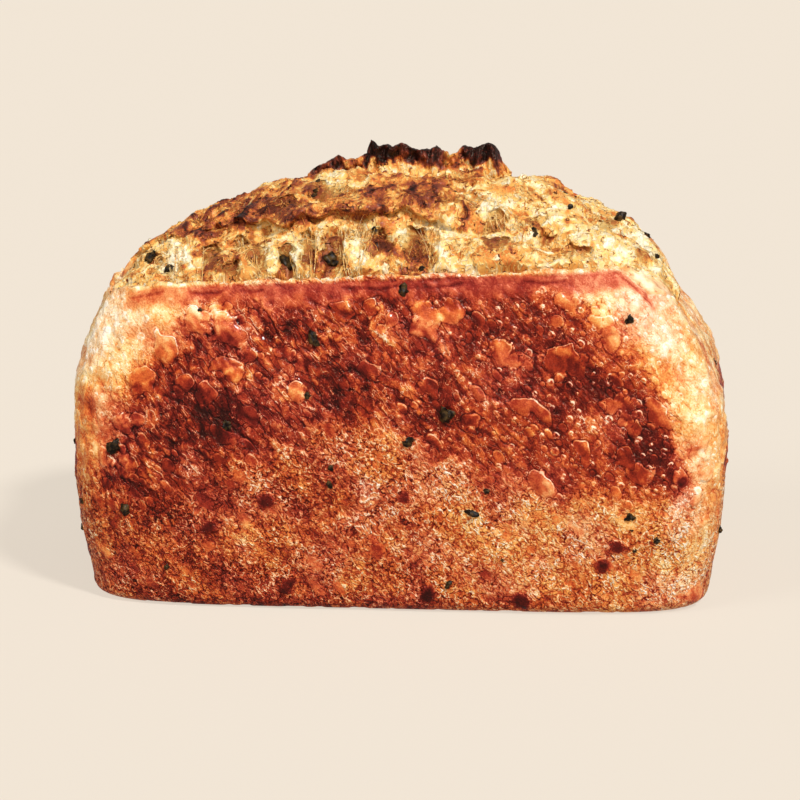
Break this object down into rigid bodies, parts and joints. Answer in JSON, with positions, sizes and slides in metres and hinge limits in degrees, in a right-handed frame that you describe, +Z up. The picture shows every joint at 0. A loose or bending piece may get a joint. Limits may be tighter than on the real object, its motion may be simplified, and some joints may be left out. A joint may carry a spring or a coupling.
{
  "type": "jalapeno bread loaf",
  "caption": "Tall tin-baked bread loaf with a blistered crust, a craggy crown torn open along a slash, and bits of jalapeno baked into the surface.",
  "frame": {"origin": "middle of the loaf's box, on the surface it stands on", "axes": "+Z up, +X along the loaf's length, -Y out of the long side below the torn slash"},
  "size_m": [0.2182, 0.1162, 0.1459],
  "materials": {
    "crust": "glossy blistered crust below, open torn crumb on the crown"
  },
  "bodies": {
    "root": {"loaf": "crust"}
  },
  "joints": []
}
